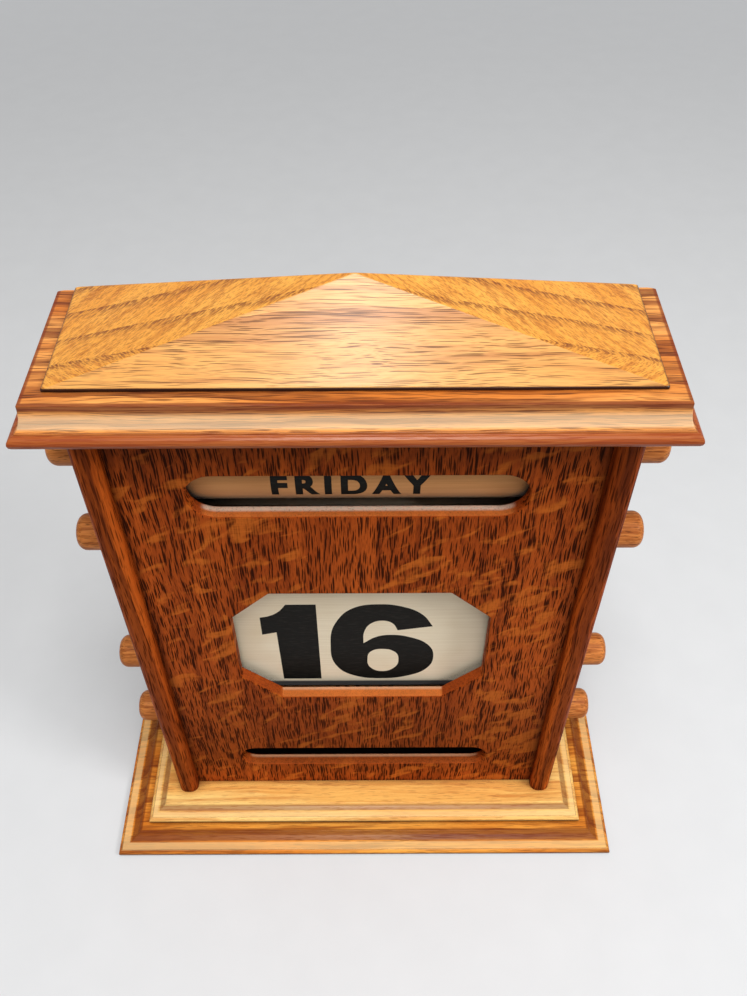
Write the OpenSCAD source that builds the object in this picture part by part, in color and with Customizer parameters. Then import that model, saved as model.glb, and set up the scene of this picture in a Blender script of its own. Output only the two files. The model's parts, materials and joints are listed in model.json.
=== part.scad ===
// Perpetual desk calendar: an oak case with a day slot, a date window and a month slot.
// Knobs at both ends of four axles turn the day drum, the two date rollers and the month drum.
// Millimetres. X to the right, Y to the back, Z up, with the origin under the middle of the base.

/* [Case] */
// Width of the case over its side boards
case_w = 200; // [190:1:230]
// Depth of the side boards
case_d = 60; // [56:1:76]
// Height of the side boards
case_h = 268.5; // [246:0.5:320]
// Thickness of a side board
side_t = 10; // [10:0.5:12]
// Radius along the front edges of a side board
side_nose_r = 4; // [1:0.5:4.5]
// Thickness of the front panel
panel_t = 6; // [4:0.5:8]
// How far the side boards stand proud of the panel
panel_setback = 6; // [5:0.5:8]
// Depth of the groove in a side board that holds the panel
groove_d = 3; // [2:0.5:4]
// Thickness of the back board
back_t = 4; // [3:0.5:6]
// Width of the rebate in a side board that holds the back board
rebate_w = 6; // [5:0.5:7]

/* [Base] */
// How far the lower board stands out past the case, in front and at the sides
lower_overhang = 30; // [20:0.5:45]
// Thickness of the lower board
lower_t = 6.5; // [5:0.5:12]
// How far the upper board stands out past the case, in front and at the sides
upper_overhang = 15; // [10:0.5:18]
// Thickness of the upper board
upper_t = 6; // [5:0.5:12]
// Thickness of the rounded nose of both boards
base_nose_t = 3.5; // [2:0.25:4.5]
// Width of the lower board's cove
lower_cove_w = 8.5; // [3:0.5:10]
// Width of the upper board's cove
upper_cove_w = 6.5; // [3:0.5:8]

/* [Cornice] */
// How far the cornice stands out past the sides
cornice_side = 14.5; // [6:0.5:20]
// How far the cornice stands out past the front
cornice_front = 8.5; // [6:0.5:20]
// Thickness of the cornice board
cornice_t = 15.5; // [10:0.5:24]
// Thickness of its rounded nose
cornice_nose_t = 5; // [3:0.5:8]
// Width of the cornice's cove
cornice_cove_w = 2.8; // [2:0.1:6]
// Radius of the cornice's two back corners, seen from above
cornice_back_r = 9; // [3:0.5:10]
// Distance from the cornice's edge to the roof cap
roof_margin = 12; // [8:0.5:16]
// Height of the roof cap's upright lip
roof_lip = 1.3; // [0.5:0.1:4]
// Rise of the pyramid above the lip
roof_rise = 25; // [10:0.5:60]

/* [Windows] */
// Length of the day and month slots
slot_w = 128; // [90:1:134]
// Height of the day slot
day_slot_h = 22; // [14:0.5:26]
// Distance of the day slot's middle below the top of the case
day_slot_drop = 38.5; // [32:0.5:46]
// Width of the date window
date_window_w = 112; // [80:1:134]
// Height of the date window
date_window_h = 82; // [60:1:84]
// Size of the window's cut corners
date_corner = 18; // [4:0.5:24]
// Height of the month slot
month_slot_h = 17; // [10:0.5:20]
// Height of the month slot's middle above the base
month_slot_z = 28.5; // [22:0.5:34]

/* [Rollers] */
// Diameter of the date rollers
date_roller_d = 27; // [20:0.5:28]
// Length of the drums and rollers between their hubs
roller_l = 160; // [140:1:164]
// Diameter of the hubs at the ends of the drums and rollers
hub_d = 20; // [12:0.5:20]
// Diameter of the axles
axle_d = 8; // [5:0.5:10]
// Distance between the date rollers' axes
date_axis_gap = 92; // [84:0.5:100]
// How far the middle of the date rollers lies above the middle of the date window
date_axis_rise = 3; // [0:0.5:6]
// How far the month drum's axis lies above the middle of the month slot
month_axis_rise = 5; // [4:0.5:8]

/* [Cloth] */
// Width of the day and month labels and of the date scroll
cloth_w = 150; // [120:1:156]
// Thickness of one layer of cloth
cloth_t = 0.4; // [0.3:0.05:0.5]
// Thickness of the scroll wound on each date roller when half of it is on each
coil_t = 3.2; // [2:0.1:3.4]

/* [Knobs] */
// Diameter of a knob
knob_d = 16; // [14:0.5:20]
// Length of a knob
knob_l = 20; // [12:0.5:24]
// Radius round the knob's outer end
knob_round_r = 4; // [1:0.5:4.5]
// Depth of the hole in a knob for its axle
knob_hole_d = 10; // [5:0.5:11]

/* [Screws] */
// Diameter of the back screws
back_screw_d = 2.4; // [2:0.1:2.6]
// Length of the back screws
back_screw_l = 14; // [10:0.5:16]
// Distance of the back screws from the ends of the side boards
back_screw_inset = 30; // [26:1:60]
// Diameter of the case screws, through the base and through the cornice
case_screw_d = 3.5; // [3:0.1:4]
// Length of the case screws
case_screw_l = 35; // [28:0.5:38]
// Distance of the case screws from the front and back of the side boards
case_screw_inset = 15; // [13:0.5:20]

/* [Clearances] */
// Gap round an axle in a side board's hole, measured on the radius
run_gap = 0.08; // [0.03:0.01:0.1]
// Gap round a glued or screwed piece, measured on the radius
glue_gap = 0.05; // [0.02:0.01:0.1]
// Gap between a board's edge and its groove or rebate
joint_gap = 0.1; // [0.05:0.01:0.2]
// Gap in front of and behind the drums' labels
drum_gap = 1; // [0.6:0.1:3]
// Gap between a hub and a side board
end_gap = 0.5; // [0.3:0.1:1]
// Gap between a knob and a side board
knob_gap = 0.4; // [0.3:0.1:1]
// Gap between the hanging stretch of the scroll and the coils beside it
span_gap = 0.3; // [0.2:0.05:0.5]

/* [Hidden] */
$fn = 72;
eps = 0.01;                                   // how far a cut runs past a face
base_d = case_d + lower_overhang;
base_t = lower_t + upper_t;
back_y = base_d / 2;                          // the flush back of base, case, cornice and roof
front_y = back_y - case_d;                    // front edge of the side boards
panel_y = front_y + panel_setback;            // front face of the panel
inside_front_y = panel_y + panel_t;
inside_back_y = back_y - back_t;
axis_y = (inside_front_y + inside_back_y) / 2;
inside_w = case_w - 2 * side_t;
drum_d = inside_back_y - inside_front_y - 2 * (cloth_t + drum_gap);
case_top_z = base_t + case_h;
cornice_w = case_w + 2 * cornice_side;
cornice_d = case_d + cornice_front;
roof_w = cornice_w - 2 * roof_margin;
roof_d = cornice_d - roof_margin;
axle_l = case_w + 2 * (knob_gap + knob_hole_d - joint_gap);
coil_r = date_roller_d / 2 + coil_t;
hub_l = (inside_w - roller_l) / 2 - end_gap;
screw_head = 1.8;                             // a screw's head is this many times as wide as its shank
side_mid_x = (case_w - side_t) / 2;           // middle of a side board's thickness
back_screw_x = (inside_w + rebate_w) / 2;
back_screw_z = [back_screw_inset, case_h / 2, case_h - back_screw_inset];   // above the base
case_screw_y = [front_y + case_screw_inset, back_y - case_screw_inset];
day_slot_z = case_h - day_slot_drop;          // these heights are measured from the top of the base
date_window_z = (day_slot_z + month_slot_z) / 2;   // the window is halfway between the slots
date_axis_z = date_window_z + date_axis_rise;
AXES = [["day", day_slot_z],
        ["upper_date", date_axis_z + date_axis_gap / 2],
        ["lower_date", date_axis_z - date_axis_gap / 2],
        ["month", month_slot_z + month_axis_rise]];
SIDES = [["left", -1], ["right", 1]];

function axis_z(i) = base_t + AXES[i][1];

// Inset and height of a moulded edge: a half-round nose, a cove that rises from it, and the flat top.
function edge_points(t, nose_t, cove_w, steps = 8) =
    let (r = nose_t / 2, x0 = r, rise = t - nose_t - r / 4)
    concat(
        [for (i = [0 : steps]) let (a = -90 + 180 * i / steps) [r - r * cos(a), r + r * sin(a)]],
        [for (i = [0 : steps]) let (a = 90 * i / steps)
            [x0 + cove_w * sin(a), nose_t + r / 4 + rise * (1 - cos(a))]]);

// A board with the moulded edge along its front and both sides, mitred at the corners, flush behind.
module moulded_board(w, d, t, nose_t, cove_w) {
    edge = edge_points(t, nose_t, cove_w);
    n = len(edge);
    intersection() {
        translate([0, back_y + eps, 0]) rotate([90, 0, 0]) linear_extrude(d + 2 * eps)
            polygon(concat([for (p = edge) [-w / 2 + p[0], p[1]]],
                           [for (i = [n - 1 : -1 : 0]) [w / 2 - edge[i][0], edge[i][1]]]));
        translate([-w / 2 - eps, 0, 0]) rotate([90, 0, 90]) linear_extrude(w + 2 * eps)
            polygon(concat([[back_y, 0]], [for (p = edge) [back_y - d + p[0], p[1]]], [[back_y, t]]));
    }
}

// A countersunk screw along +Z, with the face of its head at z = 0.
module screw(d, l) color("darkgoldenrod") {
    r = d / 2;
    head_r = screw_head * r;
    rotate_extrude() polygon([[0, 0], [head_r, 0], [r, head_r - r], [r, l - r], [0, l]]);
}

// The hole that a screw fits, open at z = 0.
module screw_hole(d, l) {
    r = d / 2 + glue_gap;
    head_r = screw_head * d / 2 + glue_gap;
    rotate_extrude() polygon([[0, -eps], [head_r, -eps], [head_r, 0], [r, head_r - r],
                              [r, l - r + glue_gap], [0, l + glue_gap]]);
}

// The two case screws of each side, in the order that their nodes are numbered.
function case_screw_pos(i) = [(i < 2 ? -1 : 1) * side_mid_x, case_screw_y[i % 2]];

module base_screw_places() {
    for (i = [0 : 3]) translate(case_screw_pos(i)) children();
}

module lower_plinth() color("goldenrod") difference() {
    moulded_board(case_w + 2 * lower_overhang, base_d, lower_t, base_nose_t, lower_cove_w);
    base_screw_places() screw_hole(case_screw_d, case_screw_l);
}

module upper_plinth() color("goldenrod") difference() {
    translate([0, 0, lower_t])
        moulded_board(case_w + 2 * upper_overhang, case_d + upper_overhang, upper_t, base_nose_t,
                      upper_cove_w);
    base_screw_places() screw_hole(case_screw_d, case_screw_l);
}

// Plan of a side board: its outer face is at x = 0 and its rounded front at y = 0.
module side_plan() {
    translate([0, side_nose_r]) square([side_t, case_d - side_nose_r]);
    translate([side_nose_r, 0]) square([side_t - 2 * side_nose_r, 2 * side_nose_r]);
    for (x = [side_nose_r, side_t - side_nose_r]) translate([x, side_nose_r]) circle(side_nose_r);
}

// The right side board. The left one is its mirror image.
module side_board() color("sienna") difference() {
    translate([case_w / 2, front_y, base_t]) mirror([1, 0, 0]) linear_extrude(case_h) side_plan();
    translate([inside_w / 2 - eps, panel_y - joint_gap, base_t - eps])
        cube([groove_d + joint_gap + eps, panel_t + 2 * joint_gap, case_h + 2 * eps]);
    translate([inside_w / 2 - eps, inside_back_y, base_t - eps])
        cube([rebate_w + eps, back_t + eps, case_h + 2 * eps]);
    for (i = [0 : 3]) translate([inside_w / 2 - eps, axis_y, axis_z(i)]) rotate([0, 90, 0])
        cylinder(d = axle_d + 2 * run_gap, h = side_t + 2 * eps);
    for (z = back_screw_z) translate([back_screw_x, back_y, base_t + z]) rotate([90, 0, 0])
        screw_hole(back_screw_d, back_screw_l);
    for (y = case_screw_y) {
        translate([side_mid_x, y, 0]) screw_hole(case_screw_d, case_screw_l);
        translate([side_mid_x, y, case_top_z + cornice_t]) rotate([180, 0, 0])
            screw_hole(case_screw_d, case_screw_l);
    }
}

module right_side() side_board();
module left_side() mirror([1, 0, 0]) side_board();

// A slot with round ends, or a window with cut corners, through a panel that stands in the XZ plane.
module slot_outline(w, h) {
    square([w - h, h], center = true);
    for (s = [-1, 1]) translate([s * (w - h) / 2, 0]) circle(d = h);
}

module window_outline(w, h, c) {
    polygon([[-w / 2 + c, -h / 2], [w / 2 - c, -h / 2], [w / 2, -h / 2 + c], [w / 2, h / 2 - c],
             [w / 2 - c, h / 2], [-w / 2 + c, h / 2], [-w / 2, h / 2 - c], [-w / 2, -h / 2 + c]]);
}

module front_panel() color("saddlebrown")
    translate([0, panel_y + panel_t, base_t]) rotate([90, 0, 0]) linear_extrude(panel_t) difference() {
        translate([-inside_w / 2 - groove_d, 0]) square([inside_w + 2 * groove_d, case_h]);
        translate([0, day_slot_z]) slot_outline(slot_w, day_slot_h);
        translate([0, date_window_z]) window_outline(date_window_w, date_window_h, date_corner);
        translate([0, month_slot_z]) slot_outline(slot_w, month_slot_h);
    }

module back_board() color("peru") difference() {
    w = inside_w + 2 * (rebate_w - joint_gap);
    translate([-w / 2, inside_back_y, base_t]) cube([w, back_t, case_h]);
    for (s = [-1, 1], z = back_screw_z) translate([s * back_screw_x, back_y, base_t + z])
        rotate([90, 0, 0]) screw_hole(back_screw_d, back_screw_l);
}

// What rounding the right back corner of the cornice takes away, seen from above.
module back_corner() translate([cornice_w / 2 - cornice_back_r, back_y - cornice_back_r]) difference() {
    square(cornice_back_r + 1);
    circle(cornice_back_r + 2 * eps);
}

module cornice() color("chocolate") difference() {
    translate([0, 0, case_top_z])
        moulded_board(cornice_w, cornice_d, cornice_t, cornice_nose_t, cornice_cove_w);
    for (m = [0, 1]) mirror([m, 0, 0]) translate([0, 0, case_top_z - 1])
        linear_extrude(cornice_t + 2) back_corner();
    for (i = [0 : 3]) translate(concat(case_screw_pos(i), [case_top_z + cornice_t]))
        rotate([180, 0, 0]) screw_hole(case_screw_d, case_screw_l);
}

// Outline of the roof cap seen along one side: an upright lip and two slopes.
module gable_outline(w) {
    polygon([[-w / 2, 0], [w / 2, 0], [w / 2, roof_lip], [0, roof_lip + roof_rise], [-w / 2, roof_lip]]);
}

module roof_cap() color("goldenrod")
    translate([0, back_y - roof_d / 2, case_top_z + cornice_t]) intersection() {
        rotate([90, 0, 0]) linear_extrude(roof_d, center = true) gable_outline(roof_w);
        rotate([90, 0, 90]) linear_extrude(roof_w, center = true) gable_outline(roof_d);
    }

// Puts its children at axle i, with their Z along the axle and to the right.
module on_axle(i) {
    translate([0, axis_y, axis_z(i)]) rotate([0, 90, 0]) children();
}

module axle(i) color("burlywood") on_axle(i) cylinder(d = axle_d, h = axle_l, center = true);

// A turned roller with a hub at each end, bored for its axle.
module roller(i, d) color("tan") on_axle(i) difference() {
    union() {
        cylinder(d = d, h = roller_l, center = true);
        cylinder(d = hub_d, h = roller_l + 2 * hub_l, center = true);
    }
    cylinder(d = axle_d + 2 * glue_gap, h = roller_l + 2 * hub_l + 2, center = true);
}

// Cloth of thickness t round a roller of diameter d.
module wrap(i, d, t) color("ivory") on_axle(i) difference() {
    cylinder(r = d / 2 + t, h = cloth_w, center = true);
    cylinder(r = d / 2 + glue_gap, h = cloth_w + 2, center = true);
}

// The stretch of scroll between the coils, hanging just in front of them.
module date_scroll_span() color("ivory")
    translate([-cloth_w / 2, axis_y - coil_r - span_gap - cloth_t, axis_z(2)])
        cube([cloth_w, cloth_t, axis_z(1) - axis_z(2)]);

// The knob at one end of axle i, glued on with its hole towards the case. side is -1 or 1.
module knob(i, side) color("peru") on_axle(i) mirror([0, 0, side < 0 ? 1 : 0])
    translate([0, 0, case_w / 2 + knob_gap]) rotate_extrude() difference() {
        union() {
            square([knob_d / 2 - knob_round_r, knob_l]);
            square([knob_d / 2, knob_l - knob_round_r]);
            translate([knob_d / 2 - knob_round_r, knob_l - knob_round_r]) intersection() {
                circle(knob_round_r);
                square(knob_round_r);
            }
        }
        translate([-eps, -eps]) square([axle_d / 2 + glue_gap + eps, knob_hole_d + eps]);
    }

module back_screw(i) translate([(i < 3 ? -1 : 1) * back_screw_x, back_y, base_t + back_screw_z[i % 3]])
    rotate([90, 0, 0]) screw(back_screw_d, back_screw_l);

module base_screw(i) translate(case_screw_pos(i)) screw(case_screw_d, case_screw_l);

module cornice_screw(i) translate(concat(case_screw_pos(i), [case_top_z + cornice_t]))
    rotate([180, 0, 0]) screw(case_screw_d, case_screw_l);

lower_plinth();
upper_plinth();
left_side();
right_side();
front_panel();
back_board();
cornice();
roof_cap();
date_scroll_span();
roller(0, drum_d);  // day_drum
wrap(0, drum_d, cloth_t);  // day_label
roller(1, date_roller_d);  // upper_date_roller
wrap(1, date_roller_d, coil_t);  // upper_date_coil
roller(2, date_roller_d);  // lower_date_roller
wrap(2, date_roller_d, coil_t);  // lower_date_coil
roller(3, drum_d);  // month_drum
wrap(3, drum_d, cloth_t);  // month_label
for (i = [0 : 3]) {
    axle(i);
    for (s = SIDES) knob(i, s[1]);
    base_screw(i);
    cornice_screw(i);
}
for (i = [0 : 5]) back_screw(i);
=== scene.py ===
"""Looks of the perpetual desk calendar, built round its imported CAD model. Metres, in the CAD's own frame."""

import json
import math

import bmesh
import bpy
from mathutils import Euler, Matrix, Vector

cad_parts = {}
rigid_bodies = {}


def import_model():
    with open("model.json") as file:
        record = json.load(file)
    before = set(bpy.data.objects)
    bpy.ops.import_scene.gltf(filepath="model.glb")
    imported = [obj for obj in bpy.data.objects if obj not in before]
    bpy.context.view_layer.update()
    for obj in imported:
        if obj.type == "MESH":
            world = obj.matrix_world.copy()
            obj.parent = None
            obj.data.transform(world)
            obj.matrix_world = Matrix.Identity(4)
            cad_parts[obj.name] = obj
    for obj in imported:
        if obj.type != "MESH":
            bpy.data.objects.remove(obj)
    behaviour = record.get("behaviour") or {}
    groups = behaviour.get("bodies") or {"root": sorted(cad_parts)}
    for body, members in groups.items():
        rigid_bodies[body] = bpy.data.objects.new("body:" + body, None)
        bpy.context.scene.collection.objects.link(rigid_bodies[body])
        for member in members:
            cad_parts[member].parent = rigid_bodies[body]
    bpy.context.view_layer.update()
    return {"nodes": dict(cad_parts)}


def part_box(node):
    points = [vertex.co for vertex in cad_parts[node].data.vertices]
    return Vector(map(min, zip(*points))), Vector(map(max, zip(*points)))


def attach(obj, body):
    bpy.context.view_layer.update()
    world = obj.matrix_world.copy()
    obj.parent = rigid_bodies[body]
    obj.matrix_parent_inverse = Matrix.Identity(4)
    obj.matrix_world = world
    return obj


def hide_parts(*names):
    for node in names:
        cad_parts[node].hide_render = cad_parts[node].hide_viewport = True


for leftover in list(bpy.data.objects):
    bpy.data.objects.remove(leftover)

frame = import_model()
nodes = frame["nodes"]

MM = 0.001
TAU = 2 * math.pi
# Heights of the turning axes, and how far back they lie, taken from the axles themselves.
AXIS_Y = sum(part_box("day_axle")[i].y for i in (0, 1)) / 2
AXIS_Z = {name: sum(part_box(f"{name}_axle")[i].z for i in (0, 1)) / 2
          for name in ("day", "upper_date", "lower_date", "month")}
CLOTH_HALF_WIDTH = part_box("date_scroll_span")[1].x
# One layer of the real cloth, and the thicker solid that stands for the scroll's hanging stretch.
LAYER = 0.25 * MM
SPAN_SOLID = 0.4 * MM
INK_PROUD = 0.03 * MM
ROOF_LIP = 1.3 * MM
ROOF_LIP_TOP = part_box("cornice")[1].z + ROOF_LIP
# The large number on the scroll: how tall it is, where it stands and where its two numerals begin.
NUMERAL_HEIGHT = 60.8 * MM
NUMERAL_FOOT = 100.1 * MM
ONE_LEFT = -38.1 * MM
SIX_LEFT = -14.4 * MM
# The photograph's camera: its place, how far it looks down, how it is turned and rolled, and its lens.
CAMERA_PLACE = (5.9 * MM, -247.1 * MM, 503.6 * MM)
CAMERA_DOWN = math.radians(47.69)
CAMERA_ASIDE = math.radians(0.02)
CAMERA_ROLL = math.radians(-0.28)
CAMERA_LENS = 34.61
BACKDROP = (0.62, 0.63, 0.65, 1)
SURROUNDINGS = (0.3, 0.3, 0.3, 1)


# ---------------------------------------------------------------- materials

def srgb(red, green, blue):
    """A linear colour from 0 to 255 display values."""
    linear = []
    for value in (red, green, blue):
        value /= 255
        linear.append(value / 12.92 if value <= 0.04045 else ((value + 0.055) / 1.055) ** 2.4)
    return (*linear, 1.0)


# Black painted shade on the faces inside the case.
INSIDE_SHADE_BLACK = srgb(16, 11, 8)
# The tint of the painted shade in corners.
CORNER_SHADE_TINT = srgb(96, 44, 16)
# The tint of the painted shadow under a base board's nose.
NOSE_SHADOW_TINT = srgb(52, 20, 6)


class Shader:
    """A material under construction. A value given to add() is linked if it is a socket, and set if not."""

    def __init__(self, name):
        self.material = bpy.data.materials.new(name)
        self.material.use_nodes = True
        self.tree = self.material.node_tree
        self.surface = self.tree.nodes["Principled BSDF"]

    def add(self, kind, settings=None, **inputs):
        made = self.tree.nodes.new("ShaderNode" + kind)
        for key, value in (settings or {}).items():
            setattr(made, key, value)
        for key, value in inputs.items():
            self.put(made, key, value)
        return made

    def put(self, made, key, value):
        socket = made.inputs[int(key[1:])] if key[0] == "_" else made.inputs[key.replace("__", " ")]
        if isinstance(value, bpy.types.NodeSocket):
            self.tree.links.new(value, socket)
        else:
            socket.default_value = value

    def finish(self, **inputs):
        for key, value in inputs.items():
            self.put(self.surface, key, value)
        return self.material

    def coordinates(self):
        return self.add("TexCoord").outputs["Object"]

    def millimetres(self, turn=(0, 0, 0), shift=(0, 0, 0)):
        """The piece's own coordinates in millimetres, turned and shifted."""
        return self.stretched(self.coordinates(), (1 / MM,) * 3, turn, shift)

    def stretched(self, vector, scale, turn=(0, 0, 0), shift=(0, 0, 0)):
        made = self.add("Mapping", Vector=vector, Location=shift, Rotation=turn, Scale=scale)
        return made.outputs["Vector"]

    def noise(self, vector, scale=1.0, detail=2.0, roughness=0.5, distortion=0.0):
        made = self.add("TexNoise", Vector=vector, Scale=scale, Detail=detail, Roughness=roughness,
                        Distortion=distortion)
        return made.outputs["Fac"]

    def steps(self, factor, low, high, inverted=False):
        """0 below low, 1 above high, and smooth between; or the other way round."""
        ends = (1.0, 0.0) if inverted else (0.0, 1.0)
        made = self.add("MapRange", {"interpolation_type": "SMOOTHSTEP"}, Value=factor)
        for i, value in enumerate((low, high, *ends)):
            made.inputs[i + 1].default_value = value
        return made.outputs["Result"]

    def math(self, operation, *values):
        """Products and differences are kept between 0 and 1, and other results are not."""
        made = self.add("Math", {"operation": operation, "use_clamp": operation in ("MULTIPLY", "SUBTRACT")})
        for i, value in enumerate(values):
            self.put(made, f"_{i}", value)
        return made.outputs[0]

    def mix(self, factor, first, second, blend="MIX"):
        made = self.add("Mix", {"data_type": "RGBA", "blend_type": blend})
        for i, value in ((0, factor), (6, first), (7, second)):
            self.put(made, f"_{i}", value)
        return made.outputs[2]

    def bump(self, height, strength, distance):
        made = self.add("Bump", Height=height, Strength=strength, Distance=distance)
        return made.outputs["Normal"]


# Turns that bring the wood's grain, along the texture's Z, onto the board's own long direction.
GRAIN_ALONG = {"X": (0, math.radians(90), 0), "Y": (math.radians(90), 0, 0), "Z": (0, 0, 0)}


def wander(s, where, amount):
    """The coordinates, pushed about so that straight grain wavers, by amount in millimetres across it."""
    drift = s.add("TexNoise", Vector=s.stretched(where, (0.05, 0.05, 0.025)), Scale=1.0, Detail=1.0)
    pushed = s.add("VectorMath", {"operation": "MULTIPLY_ADD"}, _0=drift.outputs["Color"],
                   _1=(amount, amount, 0), _2=where)
    return pushed.outputs["Vector"]


def dashes(s, where, across, along, size, density=None):
    """Short dark pores: one in each cell, across by along millimetres. Size is their share of a cell."""
    squeezed = s.stretched(where, (1 / across, 1 / across, 1 / along))
    cells = s.add("TexVoronoi", {"feature": "F1"}, Vector=squeezed, Scale=1.0, Randomness=1.0)
    distance = cells.outputs["Distance"]
    if density is not None:
        distance = s.math("SUBTRACT", distance, s.math("MULTIPLY", density, 0.12))
    return s.steps(distance, size * 0.55, size, inverted=True)


def painted_corner_shade(s, reach, strength):
    """1 on open faces, and less in corners, where shade is painted into the colour."""
    made = s.add("AmbientOcclusion", {"samples": 4}, Distance=reach)
    open_share = s.steps(made.outputs["AO"], 0.25, 0.85)
    return s.math("ADD", s.math("MULTIPLY", open_share, strength), 1 - strength)


def oak_colours(s, where, tones, pores, lines, flecks):
    """Colour, pore mask and fine height of an oak face whose grain runs along the texture's Z."""
    where = wander(s, where, 3)
    broad = s.noise(s.stretched(where, (0.05, 0.05, 0.008)), detail=3, distortion=0.4)
    streak = s.noise(s.stretched(where, (0.45, 0.45, 0.012)), detail=4, roughness=0.6)
    fibre = s.noise(s.stretched(where, (2.4, 2.4, 0.06)), detail=2)
    colour = s.mix(s.steps(broad, 0.32, 0.68), tones["middle"], tones["pale"])
    colour = s.mix(s.math("MULTIPLY", s.steps(streak, 0.42, 0.72), tones["streak"]), colour, tones["dark"])
    colour = s.mix(s.math("MULTIPLY", s.steps(fibre, 0.4, 0.75), 0.3), colour, tones["dark"])
    early = s.steps(streak, 0.4, 0.65)
    if lines:
        spacing, strength = lines
        rings = s.stretched(where, (1 / spacing, 1 / spacing, 0.06 / spacing), turn=(0.35, 0.1, 0.4))
        wave = s.add("TexWave", {"wave_profile": "SAW", "bands_direction": "X"}, Vector=rings, Scale=0.31,
                     Distortion=2.2, Detail=2.0, Detail__Scale=0.8)
        line = s.steps(wave.outputs["Fac"], 0.6, 0.98)
        colour = s.mix(s.math("MULTIPLY", line, strength), colour, tones["dark"])
        early = s.math("MAXIMUM", s.math("MULTIPLY", early, 0.5), line)
    across, along, size = pores
    mask = dashes(s, where, across, along, size, early)
    fine = dashes(s, s.stretched(where, (1, 1, 1), shift=(3, 5, 7)), across * 0.55, along * 0.5, size * 0.8)
    mask = s.math("MAXIMUM", mask, s.math("MULTIPLY", fine, 0.6))
    if flecks:
        spread, strength = flecks
        turned = s.stretched(where, (1, 1, 1), turn=(0, math.radians(34), 0))
        slanted = s.stretched(turned, (1 / spread, 1 / spread, 2.4 / spread))
        fleck = s.noise(slanted, detail=2, roughness=0.45, distortion=0.5)
        patch = s.noise(s.stretched(where, (0.03, 0.03, 0.02)), detail=1)
        fleck = s.steps(s.math("ADD", fleck, s.math("MULTIPLY", patch, 0.35)), 0.7, 0.86)
        silk = s.steps(s.noise(s.stretched(where, (0.15, 0.15, 1.8)), detail=2), 0.25, 0.7)
        fleck = s.math("MULTIPLY", fleck, s.math("ADD", s.math("MULTIPLY", silk, 0.3), 0.7))
        colour = s.mix(s.math("MULTIPLY", fleck, strength), colour, tones["fleck"])
        mask = s.math("MULTIPLY", mask, s.math("SUBTRACT", 1.0, s.math("MULTIPLY", fleck, 0.8)))
    colour = s.mix(s.math("MULTIPLY", mask, tones["pore_strength"]), colour, tones["pore"])
    height = s.math("SUBTRACT", 1.0, s.math("ADD", mask, s.math("MULTIPLY", fibre, 0.15)))
    return colour, mask, height


def oak(name, grain, tones, seed, pores=(1.1, 16, 0.34), lines=None, flecks=None, coat=0.1, gloss=0.34,
        shine=0.2, special=None):
    """Varnished oak: wavering streaks, fine dark pores along the grain, and ray flecks across it.
    Special, if given, repaints some of the board's faces."""
    s = Shader(name)
    shift = (seed * 37, seed * 19, seed * 53)
    where = s.millimetres(GRAIN_ALONG[grain], shift)
    colour, mask, height = oak_colours(s, where, tones, pores, lines, flecks)
    roughness = s.math("ADD", s.math("MULTIPLY", mask, 0.3), gloss)
    if special:
        colour, roughness = special(s, colour, roughness)
    # The faces inside the case get black painted shade.
    colour = s.mix(painted_inside_shade(s), colour, INSIDE_SHADE_BLACK)
    # Painted shade in corners and crevices.
    shade = s.mix(painted_corner_shade(s, 7 * MM, 0.8), CORNER_SHADE_TINT, (1, 1, 1, 1))
    colour = s.mix(1.0, colour, shade, "MULTIPLY")
    return s.finish(Base__Color=colour, Roughness=roughness, Normal=s.bump(height, 0.3, 0.1 * MM),
                    Specular__IOR__Level=shine, Coat__Weight=coat, Coat__Roughness=0.2)


def place_of(s, axis):
    """Where a point lies along one axis of the case, in millimetres."""
    separated = s.add("SeparateXYZ", Vector=s.millimetres())
    return separated.outputs[axis]


def facing(s, axis):
    """How far a face looks along one axis of the case."""
    return s.add("SeparateXYZ", Vector=s.add("TexCoord").outputs["Normal"]).outputs[axis]


def between(s, value, low, high):
    """1 where value lies between low and high, with crisp ends."""
    return s.math("MULTIPLY", s.math("GREATER_THAN", value, low), s.math("LESS_THAN", value, high))


def painted_inside_shade(s):
    """1 on the faces inside the case, which get black painted shade so that nothing shows behind the labels.
    """
    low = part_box("left_side")[1].x / MM - 3.2
    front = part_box("front_panel")[1].y / MM - 0.1
    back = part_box("back_board")[0].y / MM + 0.1
    across = between(s, place_of(s, "X"), low, -low)
    deep = between(s, place_of(s, "Y"), front, back)
    foot, top = (corner.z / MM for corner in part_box("left_side"))
    high = between(s, place_of(s, "Z"), foot - 0.1, top + 0.1)
    return s.math("MULTIPLY", s.math("MULTIPLY", across, deep), high)


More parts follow.
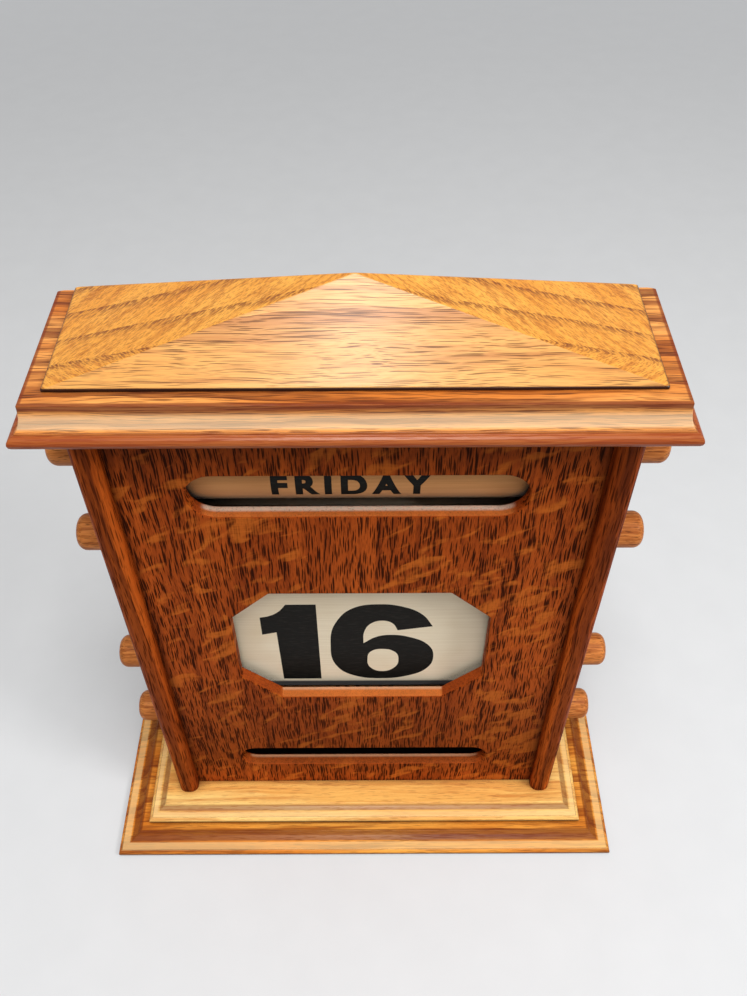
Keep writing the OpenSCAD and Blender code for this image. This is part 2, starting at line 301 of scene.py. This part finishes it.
def panel_shade_and_raw_cut(s, colour, roughness):
    """The front panel has painted shadow at its top under the cornice, painted shade low down and beside the
    stiles. The sawn lower walls of its windows are pale open end grain behind and varnished along the front
    edge."""
    height = place_of(s, "Z")
    panel_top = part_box("front_panel")[1].z / MM
    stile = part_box("left_side")[1].x / MM
    # Painted shadow under the cornice, painted shade low down and a painted shadow beside the stiles.
    under_cornice = s.steps(height, panel_top - 42, panel_top - 12)
    low_shade = s.math("MULTIPLY", s.steps(height, 60, 130, inverted=True), s.steps(height, 20, 44))
    beside = s.steps(s.math("ABSOLUTE", place_of(s, "X")), -stile - 5, -stile)
    colour = s.mix(s.math("MULTIPLY", under_cornice, 0.3), colour, srgb(40, 14, 5))
    colour = s.mix(s.math("MULTIPLY", low_shade, 0.28), colour, srgb(58, 22, 8))
    colour = s.mix(s.math("MULTIPLY", beside, 0.5), colour, srgb(34, 11, 4))
    upper = s.steps(height, 120, 225)
    bare = s.mix(upper, srgb(232, 180, 138), srgb(255, 236, 212))
    varnished = s.mix(s.steps(height, 55, 85), srgb(138, 66, 26), srgb(214, 120, 56))
    # Higher up, the bare part begins nearer to the front, by 1 mm at most, as a product stops at 1.
    depth = s.math("ADD", place_of(s, "Y"), s.math("MULTIPLY", upper, 3.4))
    ground = s.mix(s.steps(depth, -5.6, -4.0), varnished, bare)
    speckle = dashes(s, s.millimetres(), 1.1, 1.1, 0.36)
    ground = s.mix(s.math("MULTIPLY", speckle, s.math("MULTIPLY", upper, 0.35)), ground, srgb(140, 78, 40))
    ground = s.mix(s.steps(facing(s, "Z"), 0.76, 0.92), srgb(160, 70, 26), ground)
    ground = s.mix(0.38, ground, colour)
    wall = s.steps(facing(s, "Z"), 0.5, 0.68)
    return s.mix(wall, colour, ground), s.math("MAXIMUM", roughness, s.math("MULTIPLY", wall, 0.7))


def inset(s, node):
    """How far a point lies in from a board's front edge or from its nearer side edge, in millimetres."""
    low, high = (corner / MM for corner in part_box(node))
    from_front = s.math("ADD", place_of(s, "Y"), -low.y)
    from_side = s.math("MULTIPLY_ADD", s.math("ABSOLUTE", place_of(s, "X")), -1.0, high.x)
    return s.math("MINIMUM", from_front, from_side)


def painted_cove_light(node, start, end, strength):
    """A finish for a base board, with painted light: shade round the steep top of its cove, from start to end
    in millimetres in from the edge, a shadow under its nose, and a highlight on the foot of the cove."""
    def repaint(s, colour, roughness):
        reach = inset(s, node)
        # Painted shade on the steep top of the cove.
        dark = s.math("MULTIPLY", s.steps(reach, start - 0.8, start),
                      s.steps(reach, end, end + 0.8, inverted=True))
        # Painted highlight on the flatter foot of the cove.
        foot = s.math("MULTIPLY", s.steps(reach, 1.2, 2),
                      s.steps(reach, start - 1.6, start - 0.8, inverted=True))
        colour = s.mix(s.math("MULTIPLY", foot, 0.5), colour, srgb(255, 216, 150))
        colour = s.mix(s.math("MULTIPLY", dark, strength), colour, srgb(108, 44, 10))
        # Painted shadow under the nose.
        under = s.steps(facing(s, "Z"), 0, 0.4, inverted=True)
        return s.mix(s.math("MULTIPLY", under, 0.85), colour, NOSE_SHADOW_TINT), roughness
    return repaint


def painted_cornice_light(s, colour, roughness):
    """Painted light on the cornice: dark red painted shade runs along the edge of its flat rim and down the
    steep top of its cove. Below it the cove has a pale painted highlight, and the nose is dark again."""
    height = place_of(s, "Z")
    low, high = (corner.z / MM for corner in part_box("cornice"))
    edge = s.steps(inset(s, "cornice"), 6.2, 7, inverted=True)
    # Painted shade along the rim's edge and down the steep top of the cove.
    band = s.math("MULTIPLY", edge, s.steps(height, high - 3.2, high - 1.2))
    # Painted highlight on the cove below it.
    pale = s.math("MULTIPLY", s.steps(height, high - 5.5, high - 2.5, inverted=True),
                  s.steps(height, low + 6, low + 7.2))
    nose = s.steps(height, low + 5, low + 6.6, inverted=True)
    colour = s.mix(s.math("MULTIPLY", band, 0.75), colour, srgb(118, 44, 12))
    colour = s.mix(s.math("MULTIPLY", pale, 0.55), colour, srgb(255, 220, 176))
    return s.mix(s.math("MULTIPLY", nose, 0.85), colour, srgb(146, 60, 14)), roughness


def shaded_front(s, colour, roughness):
    """The narrow flat along a side board's front has painted shade, so it is darker than the rounded edges
    beside it.
    """
    # Painted shade on the faces that look straight to the front.
    flat = s.steps(s.math("MULTIPLY", facing(s, "Y"), -1.0), 0.93, 1.0)
    return s.mix(s.math("MULTIPLY", flat, 0.5), colour, srgb(72, 28, 10)), roughness


def roof_facets(s, colour, roughness):
    """The two side facets have deeper gold wood with its pores aslant and dark rings that run across. The lip
    below the roof is darkened, partly as a dark joint and partly as painted shade on its face."""
    tones = tones_of(srgb(246, 176, 74), srgb(236, 158, 56), srgb(190, 110, 30), srgb(150, 78, 20), 0.6)
    across = s.millimetres()
    mirrored = s.add("VectorMath", {"operation": "ABSOLUTE"}, _0=across).outputs["Vector"]
    aslant = s.stretched(mirrored, (1, 1, 1), turn=(0, 0, math.radians(-47)))
    along = s.stretched(aslant, (1, 1, 1), turn=GRAIN_ALONG["Y"])
    side, _, _ = oak_colours(s, along, tones, (0.5, 5, 0.42), None, None)
    band = s.add("TexWave", {"wave_profile": "SAW", "bands_direction": "Y"},
                 Vector=s.stretched(across, (0.012, 0.1, 0.1)), Scale=0.22, Distortion=3.0, Detail=3.0)
    ring = s.steps(band.outputs["Fac"], 0.62, 0.98)
    strokes = dashes(s, along, 0.7, 4, 0.62)
    side = s.mix(s.math("MULTIPLY", ring, s.math("ADD", s.math("MULTIPLY", strokes, 0.7), 0.15)), side,
                 srgb(112, 48, 10))
    lean = s.steps(s.math("ABSOLUTE", facing(s, "X")), 0.08, 0.16)
    colour = s.mix(lean, colour, side)
    # The dark joint below the roof, with painted shade on the lip's face.
    lip = s.steps(place_of(s, "Z"), ROOF_LIP_TOP / MM - 0.1, ROOF_LIP_TOP / MM + 0.3, inverted=True)
    return s.mix(lip, colour, srgb(48, 18, 6)), roughness


def turned_wood(name, pale, dark, coat, seed):
    """A turned piece: fine grain along its axle, rings on its ends and faint tool marks."""
    s = Shader(name)
    where = s.millimetres(GRAIN_ALONG["X"], (seed * 11, seed * 7, seed))
    grain = s.noise(s.stretched(where, (0.8, 0.8, 0.06)), detail=4, distortion=0.8)
    pores = s.steps(s.noise(s.stretched(where, (2.2, 2.2, 0.25)), detail=1), 0.58, 0.68)
    tool = s.noise(s.stretched(where, (0.02, 0.02, 2.4)), detail=0)
    colour = s.mix(s.steps(grain, 0.3, 0.7), pale, dark)
    colour = s.mix(s.math("MULTIPLY", pores, 0.6), colour, srgb(88, 44, 18))
    height = s.math("SUBTRACT", s.math("MULTIPLY", tool, 0.3), s.math("MULTIPLY", pores, 0.5))
    roughness = s.math("ADD", s.math("MULTIPLY", grain, 0.25), 0.28)
    # Painted shade in corners and crevices.
    shade = s.mix(painted_corner_shade(s, 5 * MM, 0.8), srgb(110, 60, 30), (1, 1, 1, 1))
    colour = s.mix(1.0, colour, shade, "MULTIPLY")
    return s.finish(Base__Color=colour, Roughness=roughness, Normal=s.bump(height, 0.3, 0.1 * MM),
                    Specular__IOR__Level=0.12, Coat__Weight=coat, Coat__Roughness=0.2)


def linen(name, light, shade, yellowed, dim=(0.2, 0.35), shaded_below=None):
    """Sized linen: a plain weave with slubs along the width and slight yellowing. It has painted shade where
    little light gets in, which dim sets, and below the height in millimetres where it curls away from the
    window."""
    s = Shader(name)
    where = s.millimetres()
    warp = s.add("TexWave", {"bands_direction": "X"}, Vector=where, Scale=0.7, Distortion=0.6)
    weft = s.add("TexWave", {"bands_direction": "Z"}, Vector=where, Scale=0.7, Distortion=0.6)
    weave = s.math("MULTIPLY", warp.outputs["Fac"], weft.outputs["Fac"])
    slub = s.noise(s.stretched(where, (0.03, 1.3, 1.3)), detail=3)
    stain = s.noise(s.stretched(where, (0.03, 0.03, 0.03)), detail=2)
    colour = s.mix(s.steps(slub, 0.3, 0.75), light, shade)
    colour = s.mix(s.math("MULTIPLY", s.steps(stain, 0.45, 0.8), 0.5), colour, yellowed)
    open_share = s.add("AmbientOcclusion", {"samples": 8}, Distance=9 * MM).outputs["AO"]
    lit = s.steps(open_share, *dim)
    # Painted shade below the height where the cloth curls away.
    if shaded_below:
        lit = s.math("MULTIPLY", lit, s.steps(place_of(s, "Z"), shaded_below - 1.6, shaded_below))
    colour = s.mix(lit, srgb(14, 11, 9), colour)
    height = s.math("ADD", s.math("MULTIPLY", weave, 0.6), s.math("MULTIPLY", slub, 0.4))
    return s.finish(Base__Color=colour, Roughness=0.75, Normal=s.bump(height, 0.25, 0.05 * MM),
                    Sheen__Weight=0.15, Sheen__Roughness=0.5)


def printing_ink(name):
    """Black ink that has sunk into the weave a little unevenly."""
    s = Shader(name)
    where = s.millimetres()
    worn = s.noise(s.stretched(where, (0.3, 1.5, 1.5)), detail=3)
    colour = s.mix(s.steps(worn, 0.45, 0.8), srgb(18, 18, 16), srgb(36, 35, 31))
    return s.finish(Base__Color=colour, Roughness=0.6, Normal=s.bump(worn, 0.15, 0.05 * MM),
                    Specular__IOR__Level=0.1)


def brass(name):
    """Dull screw brass with fine turning marks and tarnish."""
    s = Shader(name)
    where = s.millimetres()
    tarnish = s.noise(s.stretched(where, (0.9, 0.9, 0.9)), detail=3)
    colour = s.mix(s.steps(tarnish, 0.4, 0.7), srgb(196, 160, 84), srgb(128, 92, 44))
    roughness = s.math("ADD", s.math("MULTIPLY", tarnish, 0.4), 0.2)
    return s.finish(Base__Color=colour, Roughness=roughness, Metallic=1.0,
                    Normal=s.bump(tarnish, 0.2, 0.05 * MM))


def tones_of(pale, middle, dark, pore, pore_strength=0.85, streak=0.7, fleck=None):
    """A wood's colours, and how strongly its pores and streaks show."""
    return dict(pale=pale, middle=middle, dark=dark, pore=pore, fleck=fleck, pore_strength=pore_strength,
                streak=streak)


def dress_wood():
    """Gives every wooden and brass CAD node its material."""
    honey = tones_of(srgb(255, 216, 132), srgb(252, 192, 102), srgb(204, 120, 48), srgb(150, 82, 30), 0.4)
    orange = tones_of(srgb(250, 174, 74), srgb(228, 132, 38), srgb(146, 66, 14), srgb(104, 46, 12), 0.5, 0.9)
    russet = tones_of(srgb(192, 88, 28), srgb(162, 69, 19), srgb(108, 40, 9), srgb(30, 8, 2), 0.92,
                      fleck=srgb(206, 108, 36))
    stile = tones_of(srgb(204, 96, 30), srgb(164, 70, 19), srgb(102, 38, 9), srgb(44, 14, 4), 0.7, 0.9)
    amber = tones_of(srgb(250, 172, 90), srgb(216, 122, 44), srgb(118, 48, 12), srgb(70, 26, 7), 0.75, 0.95)
    gold = tones_of(srgb(236, 178, 98), srgb(224, 158, 78), srgb(178, 106, 46), srgb(66, 34, 16), 0.78)
    plain = tones_of(srgb(204, 148, 94), srgb(182, 124, 72), srgb(136, 84, 44), srgb(80, 44, 20))
    looks = {
        "lower_plinth": oak("oak_lower_plinth", "X", orange, 1, pores=(0.6, 12, 0.34), lines=(7, 0.7),
                            coat=0.05, shine=0.12, special=painted_cove_light("lower_plinth", 6.7, 11, 0.7)),
        "upper_plinth": oak("oak_upper_plinth", "X", honey, 2, pores=(0.7, 9, 0.3), lines=(8, 0.4), coat=0.08,
                            special=painted_cove_light("upper_plinth", 5.5, 7.5, 0.6)),
        "left_side": oak("oak_left_side", "Z", stile, 3, pores=(0.8, 14, 0.4), lines=(4, 0.6), coat=0.0,
                         shine=0.03, gloss=0.45, special=shaded_front),
        "right_side": oak("oak_right_side", "Z", stile, 4, pores=(0.8, 14, 0.4), lines=(4, 0.6), coat=0.0,
                          shine=0.03, gloss=0.45, special=shaded_front),
        "front_panel": oak("oak_panel", "Z", russet, 5, pores=(0.72, 11, 0.48), flecks=(15, 0.8), coat=0.0,
                           gloss=0.45, shine=0.04, special=panel_shade_and_raw_cut),
        "back_board": oak("oak_back", "Z", plain, 6, lines=(12, 0.5), coat=0.05, gloss=0.5),
        "cornice": oak("oak_cornice", "X", amber, 7, pores=(0.55, 18, 0.38), lines=(5, 0.7), coat=0.1,
                       special=painted_cornice_light),
        "roof_cap": oak("oak_roof", "X", gold, 8, pores=(0.4, 24, 0.37), lines=(11, 0.7), coat=0.25,
                        special=roof_facets),
    }
    for node, material in looks.items():
        paint(nodes[node], material)
    knob = turned_wood("turned_knob", srgb(226, 142, 72), srgb(170, 92, 40), 0.03, 3)
    bare = turned_wood("turned_bare", srgb(214, 178, 132), srgb(176, 134, 88), 0.0, 5)
    metal = brass("screw_brass_look")
    for name, obj in nodes.items():
        if "_knob_" in name:
            paint(obj, knob)
        elif "_axle" in name or "_roller" in name or "_drum" in name:
            paint(obj, bare)
        elif "_screw_" in name:
            paint(obj, metal)


def paint(obj, material):
    obj.data.materials.clear()
    obj.data.materials.append(material)


# ---------------------------------------------------------------- softened edges

def soften(name, width):
    """Rounds a board's crisp CAD edges as sanding and varnish do. The CAD mesh itself stays."""
    obj = nodes[name]
    weld = obj.modifiers.new("weld", "WELD")
    weld.merge_threshold = 0.005 * MM
    flat = obj.modifiers.new("flat", "DECIMATE")
    flat.decimate_type = "DISSOLVE"
    flat.angle_limit = math.radians(0.6)
    round_off = obj.modifiers.new("round_off", "BEVEL")
    round_off.width = width
    round_off.segments = 3
    round_off.limit_method = "ANGLE"
    round_off.angle_limit = math.radians(40)
    round_off.use_clamp_overlap = False


def soften_boards():
    for name in ("lower_plinth", "upper_plinth"):
        soften(name, 0.35 * MM)
    soften("cornice", 0.4 * MM)
    soften("roof_cap", 0.5 * MM)
    soften("front_panel", 0.8 * MM)
    soften("back_board", 0.4 * MM)


# ---------------------------------------------------------------- cloth

def mesh_from(bm, name):
    """Turns a finished bmesh into a mesh, and frees it."""
    mesh = bpy.data.meshes.new(name)
    bm.to_mesh(mesh)
    bm.free()
    return mesh


def new_piece(name, mesh, material, body):
    obj = bpy.data.objects.new(name, mesh)
    bpy.context.scene.collection.objects.link(obj)
    obj.data.materials.append(material)
    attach(obj, body)
    return obj


def strip_mesh(name, path, half_width, across=6):
    """A strip of cloth that follows path, a list of (y, z) points, from side to side of the case."""
    bm = bmesh.new()
    columns = [half_width * (2 * i / across - 1) for i in range(across + 1)]
    rows = [[bm.verts.new((x, y, z)) for x in columns] for y, z in path]
    for upper, lower in zip(rows, rows[1:]):
        for i in range(across):
            bm.faces.new((upper[i], upper[i + 1], lower[i + 1], lower[i]))
    for face in bm.faces:
        face.smooth = True
    bmesh.ops.recalc_face_normals(bm, faces=bm.faces)
    return mesh_from(bm, name)


def thicken(obj, thickness):
    solid = obj.modifiers.new("thickness", "SOLIDIFY")
    solid.thickness = thickness
    solid.offset = 0
    return obj


def round_axis(axis, radius, angle):
    """A point (y, z) on a circle round an axis. Angle 0 faces the front and a quarter turn faces up."""
    return (AXIS_Y - radius * math.cos(angle), AXIS_Z[axis] + radius * math.sin(angle))


def label(name, axis, body, node, cloth):
    """A printed label, glued once round its drum."""
    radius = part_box(node)[1].z - AXIS_Z[axis] - LAYER / 2
    steps = 96
    seam = 0.9995
    path = [round_axis(axis, radius, math.pi + TAU * i / steps) for i in range(steps)]
    path.append(round_axis(axis, radius, math.pi + TAU * seam))
    piece = thicken(new_piece(name, strip_mesh(name, path, CLOTH_HALF_WIDTH), cloth, body), LAYER)
    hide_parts(node)
    return piece


def coil(name, axis, body, node, cloth):
    """Half of the date scroll, wound on its roller in a true spiral."""
    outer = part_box(node)[1].z - AXIS_Z[axis] - LAYER / 2
    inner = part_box(f"{axis}_roller")[1].z - AXIS_Z[axis] + LAYER
    turns = round((outer - inner) / LAYER)
    steps = 48 * turns
    path = [round_axis(axis, inner + (outer - inner) * i / steps, math.pi / 2 + TAU * turns * i / steps)
            for i in range(steps + 1)]
    mesh = strip_mesh(name, path, CLOTH_HALF_WIDTH, across=2)
    # A little thinner than the spiral's pitch, so that its turns stay apart.
    piece = thicken(new_piece(name, mesh, cloth, body), LAYER * 0.8)
    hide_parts(node)
    return piece


def hanging_scroll(cloth, number):
    """The stretch of date scroll behind the window. Its ends lie on the two coils."""
    low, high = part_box("date_scroll_span")
    radius = AXIS_Y - (low.y + high.y) / 2
    bend = math.radians(55)
    steps = 10
    arc = [bend * i / steps for i in range(steps + 1)]
    path = [round_axis("upper_date", radius, a) for a in reversed(arc)]
    rows = 24
    for i in range(1, rows):
        share = i / rows
        path.append((AXIS_Y - radius, AXIS_Z["upper_date"] * (1 - share) + AXIS_Z["lower_date"] * share))
    path += [round_axis("lower_date", radius, -a) for a in arc]
    piece = new_piece("date_scroll", strip_mesh("date_scroll", path, CLOTH_HALF_WIDTH, 12), cloth, "case")
    thicken(piece, LAYER)
    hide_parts("date_scroll_span")
    return piece


# ---------------------------------------------------------------- lettering

def word_mesh(word, height, width, weight):
    """A word in bold capitals as a flat mesh facing the front, standing on z = 0, centred on x = 0."""
    text = bpy.data.curves.new("word", "FONT")
    text.body = word
    text.offset = weight
    text.space_character = 1.4
    text.resolution_u = 6
    carrier = bpy.data.objects.new("word", text)
    bpy.context.scene.collection.objects.link(carrier)
    bpy.context.view_layer.update()
    evaluated = carrier.evaluated_get(bpy.context.evaluated_depsgraph_get())
    mesh = bpy.data.meshes.new_from_object(evaluated)
    bpy.data.objects.remove(carrier)
    low = Vector(map(min, *[v.co for v in mesh.vertices]))
    high = Vector(map(max, *[v.co for v in mesh.vertices]))
    for v in mesh.vertices:
        x = (v.co.x - (low.x + high.x) / 2) / (high.x - low.x) * width
        z = (v.co.y - low.y) / (high.y - low.y) * height
        v.co = (x, 0, z)
    return mesh


def bent_words(name, axis, radius, words, height, letter_width, weight, middle, shift, ink, body):
    """The words, printed in order round a drum. The first one's middle is at the angle called middle."""
    bm = bmesh.new()
    for i, word in enumerate(words):
        mesh = word_mesh(word, height, letter_width * (len(word) - 0.4 * word.count("I")), weight)
        part = bmesh.new()
        part.from_mesh(mesh)
        bpy.data.meshes.remove(mesh)
        cuts = max(2, round(height / (0.7 * MM)))
        for k in range(1, cuts):
            geometry = part.verts[:] + part.edges[:] + part.faces[:]
            level = (0, 0, height * k / cuts)
            bmesh.ops.bisect_plane(part, geom=geometry, plane_co=level, plane_no=(0, 0, 1))
        for v in part.verts:
            angle = middle - TAU * i / len(words) + (v.co.z - height / 2) / radius
            y, z = round_axis(axis, radius, angle)
            v.co = (v.co.x + shift, y, z)
        joined = mesh_from(part, "joined")
        bm.from_mesh(joined)
        bpy.data.meshes.remove(joined)
    face_out(bm, AXIS_Y, AXIS_Z[axis])
    return new_piece(name, mesh_from(bm, name), ink, body)


def face_out(bm, y, z):
    """Turns every face away from the axis at y, z."""
    bm.normal_update()
    for face in bm.faces:
        middle = face.calc_center_median()
        if face.normal.dot(Vector((0, middle.y - y, middle.z - z))) < 0:
            face.normal_flip()


# Outlines of the large numerals, one hundred units high. A point with True is a corner.
ONE = [[(0, 0, True), (30, 0, True), (30, 100, True), (8, 100, True), (2, 91, False), (-5, 86, False),
        (-12, 84, True), (-12, 62, True), (-1, 65, True)]]
SIX = [[(77, 72, True), (68, 88, False), (54, 97, False), (38, 100, False), (19, 96, False), (6, 80, False),
        (0, 49, False), (5, 16, False), (18, 4, False), (38, 0, False), (60, 4, False), (74, 14, False),
        (79, 32, False), (74, 48, False), (60, 58, False), (45, 61, False), (35, 58.5, False), (25, 50, True),
        (26, 66, False), (31, 76, False), (38.5, 79.5, False), (46, 77, False), (51, 67, True)],
       [(28, 29, False), (31, 39, False), (40, 42, False), (49, 38, False), (52, 27, False), (49, 16, False),
        (40, 10.5, False), (31, 15, False)]]


def numeral_mesh(outlines, left, bottom, height, y):
    """A numeral filled between its outlines, facing the front."""
    curve = bpy.data.curves.new("numeral", "CURVE")
    curve.dimensions = "2D"
    curve.fill_mode = "BOTH"
    curve.resolution_u = 8
    for outline in outlines:
        spline = curve.splines.new("BEZIER")
        spline.bezier_points.add(len(outline) - 1)
        spline.use_cyclic_u = True
        for point, (x, z, corner) in zip(spline.bezier_points, outline):
            point.co = (x / 100, z / 100, 0)
            kind = "VECTOR" if corner else "AUTO"
            point.handle_left_type = kind
            point.handle_right_type = kind
    carrier = bpy.data.objects.new("numeral", curve)
    bpy.context.scene.collection.objects.link(carrier)
    bpy.context.view_layer.update()
    evaluated = carrier.evaluated_get(bpy.context.evaluated_depsgraph_get())
    mesh = bpy.data.meshes.new_from_object(evaluated)
    bpy.data.objects.remove(carrier)
    for v in mesh.vertices:
        v.co = (left + v.co.x * height, y, bottom + v.co.y * height)
    return mesh


def date_number(ink):
    """The number 16 on the scroll."""
    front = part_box("date_scroll_span")[0].y + (SPAN_SOLID - LAYER) / 2 - INK_PROUD
    bm = bmesh.new()
    for outlines, left in ((ONE, ONE_LEFT), (SIX, SIX_LEFT)):
        mesh = numeral_mesh(outlines, left, NUMERAL_FOOT, NUMERAL_HEIGHT, front)
        bm.from_mesh(mesh)
        bpy.data.meshes.remove(mesh)
    bm.normal_update()
    for face in bm.faces:
        if face.normal.y > 0:
            face.normal_flip()
    return new_piece("date_number", mesh_from(bm, "date_number"), ink, "case")


def print_cloth():
    """All the cloth, with its lettering."""
    cloth = linen("linen_look", srgb(252, 236, 206), srgb(244, 226, 194), srgb(230, 204, 162))
    hanging = linen("hanging_linen_look", srgb(252, 236, 206), srgb(244, 226, 194), srgb(230, 204, 162),
                    dim=(0.08, 0.26), shaded_below=AXIS_Z["lower_date"] / MM)
    # The labels' linen is a darker tan that paints the shade and warm bounce light in their slots.
    slot_shade_linen = linen("slot_shade_linen_look", srgb(212, 150, 88), srgb(200, 138, 76), srgb(180, 118, 60))
    ink = printing_ink("ink_look")
    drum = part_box("day_label")[1].z - AXIS_Z["day"] + INK_PROUD
    days = ["FRIDAY", "SATURDAY", "SUNDAY", "MONDAY", "TUESDAY", "WEDNESDAY", "THURSDAY"]
    months = ["OCTOBER", "NOVEMBER", "DECEMBER", "JANUARY", "FEBRUARY", "MARCH", "APRIL", "MAY", "JUNE",
              "JULY", "AUGUST", "SEPTEMBER"]
    day_names = bent_words("day_names", "day", drum, days, height=12.4 * MM, letter_width=10.8 * MM,
                           weight=0.05, middle=math.radians(-3.7), shift=-2.5 * MM, ink=ink,
                           body="day_turner")
    month_names = bent_words("month_names", "month", drum, months, height=7 * MM, letter_width=8 * MM,
                             weight=0.04, middle=math.radians(-13.5), shift=0, ink=ink,
                             body="month_turner")
    label("day_label_cloth", "day", "day_turner", "day_label", slot_shade_linen)
    label("month_label_cloth", "month", "month_turner", "month_label", slot_shade_linen)
    coil("upper_date_coil_cloth", "upper_date", "upper_date_turner", "upper_date_coil", cloth)
    coil("lower_date_coil_cloth", "lower_date", "lower_date_turner", "lower_date_coil", cloth)
    hanging_scroll(hanging, date_number(ink))


# ---------------------------------------------------------------- small fittings

def screw_slots(material):
    """The driver's slot across each visible screw head, a thin dark bar of painted shade that stands just
    proud of it.
    """
    bm = bmesh.new()
    spin = 2.3
    thickness = 0.04 * MM
    heads = sorted(n for n in nodes if n.startswith(("back_screw", "base_screw")))
    for i, name in enumerate(heads):
        low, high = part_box(name)
        middle = (low + high) / 2
        behind = name.startswith("back")
        head = (high.x - low.x) / 2
        turn = Matrix.Rotation(spin * i, 4, "Z")
        if behind:
            spot = (middle.x, high.y, middle.z)
            facing_out = math.radians(-90)
        else:
            spot = (middle.x, middle.y, low.z)
            facing_out = math.radians(180)
        place = Matrix.Translation(spot) @ Matrix.Rotation(facing_out, 4, "X")
        size = Matrix.Diagonal((head * 1.8, head * 0.32, thickness, 1))
        bmesh.ops.create_cube(bm, size=1, matrix=place @ turn @ size)
    bmesh.ops.bevel(bm, geom=bm.edges[:], offset=thickness / 5, segments=1, affect="EDGES")
    return new_piece("screw_slots", mesh_from(bm, "screw_slots"), material, "case")


# ---------------------------------------------------------------- studio

def looked_at(s):
    """1 for rays from the camera and in reflections, 0 for the soft light that falls on things."""
    rays = s.add("LightPath").outputs
    seen = s.math("MAXIMUM", rays["Is Camera Ray"], rays["Is Glossy Ray"])
    return s.math("MAXIMUM", seen, rays["Is Transmission Ray"])


def floor():
    """A plain pale floor that fades into the equally pale surroundings."""
    bm = bmesh.new()
    bmesh.ops.create_grid(bm, x_segments=2, y_segments=2, size=8)
    obj = bpy.data.objects.new("floor", mesh_from(bm, "floor"))
    bpy.context.scene.collection.objects.link(obj)
    s = Shader("floor_look")
    tone = s.noise(s.coordinates(), scale=40, detail=4)
    seen = looked_at(s)
    pale = s.mix(tone, srgb(222, 223, 224), srgb(228, 229, 230))
    colour = s.mix(seen, srgb(150, 150, 150), pale)
    distance = s.add("VectorMath", {"operation": "LENGTH"}, _0=s.coordinates()).outputs["Value"]
    far = s.steps(distance, 0.5, 2.2)
    colour = s.mix(far, colour, (0, 0, 0, 1))
    glow = s.math("MULTIPLY", far, seen)
    obj.data.materials.append(s.finish(Base__Color=colour, Roughness=0.7, Specular__IOR__Level=0.0,
                                       Emission__Color=BACKDROP, Emission__Strength=glow))


def lamp(name, position, target, size, power):
    data = bpy.data.lights.new(name, "AREA")
    data.shape = "RECTANGLE"
    data.size, data.size_y = size
    data.energy = power
    obj = bpy.data.objects.new(name, data)
    obj.location = position
    obj.rotation_euler = (Vector(target) - Vector(position)).to_track_quat("-Z", "Y").to_euler()
    bpy.context.scene.collection.objects.link(obj)


def studio():
    """A soft key from the front right, a low fill from the front, two small lights over the roof's front
    and an even surrounding."""
    world = bpy.data.worlds.new("studio")
    world.use_nodes = True
    tree = world.node_tree
    rays = tree.nodes.new("ShaderNodeLightPath").outputs
    seen = rays["Is Camera Ray"]
    for ray in ("Is Glossy Ray", "Is Transmission Ray"):
        larger = tree.nodes.new("ShaderNodeMath")
        larger.operation = "MAXIMUM"
        tree.links.new(seen, larger.inputs[0])
        tree.links.new(rays[ray], larger.inputs[1])
        seen = larger.outputs[0]
    colour = tree.nodes.new("ShaderNodeMix")
    colour.data_type = "RGBA"
    colour.inputs[6].default_value = SURROUNDINGS
    colour.inputs[7].default_value = BACKDROP
    tree.links.new(seen, colour.inputs[0])
    tree.links.new(colour.outputs[2], tree.nodes["Background"].inputs["Color"])
    bpy.context.scene.world = world
    lamp("side", (0.95, -0.5, 1.05), (0, 0, 0.15), (0.35, 0.35), 6)
    lamp("front", (0.1, -1.1, 0.45), (0, 0, 0.15), (0.6, 0.5), 1.3)
    lamp("ceiling", (0.05, -0.32, 1.55), (0, 0, 0.2), (0.5, 0.4), 11)
    lamp("shine", (-0.02, -0.62, 1.35), (0, 0, 0.3), (0.14, 0.3), 4)


def camera():
    """The photograph's camera, solved from the straight edges of the case."""
    data = bpy.data.cameras.new("camera")
    data.sensor_fit = "AUTO"
    data.sensor_width = 36
    data.lens = CAMERA_LENS
    obj = bpy.data.objects.new("camera", data)
    obj.location = CAMERA_PLACE
    aim = Euler((math.radians(90) - CAMERA_DOWN, 0, CAMERA_ASIDE)).to_matrix()
    obj.rotation_euler = (aim @ Matrix.Rotation(CAMERA_ROLL, 3, "Z")).to_euler()
    bpy.context.scene.collection.objects.link(obj)
    bpy.context.scene.camera = obj


dress_wood()
soften_boards()
print_cloth()
screw_slots(printing_ink("slot_shade_look"))
floor()
studio()
camera()
bpy.context.scene.view_settings.view_transform = "Standard"
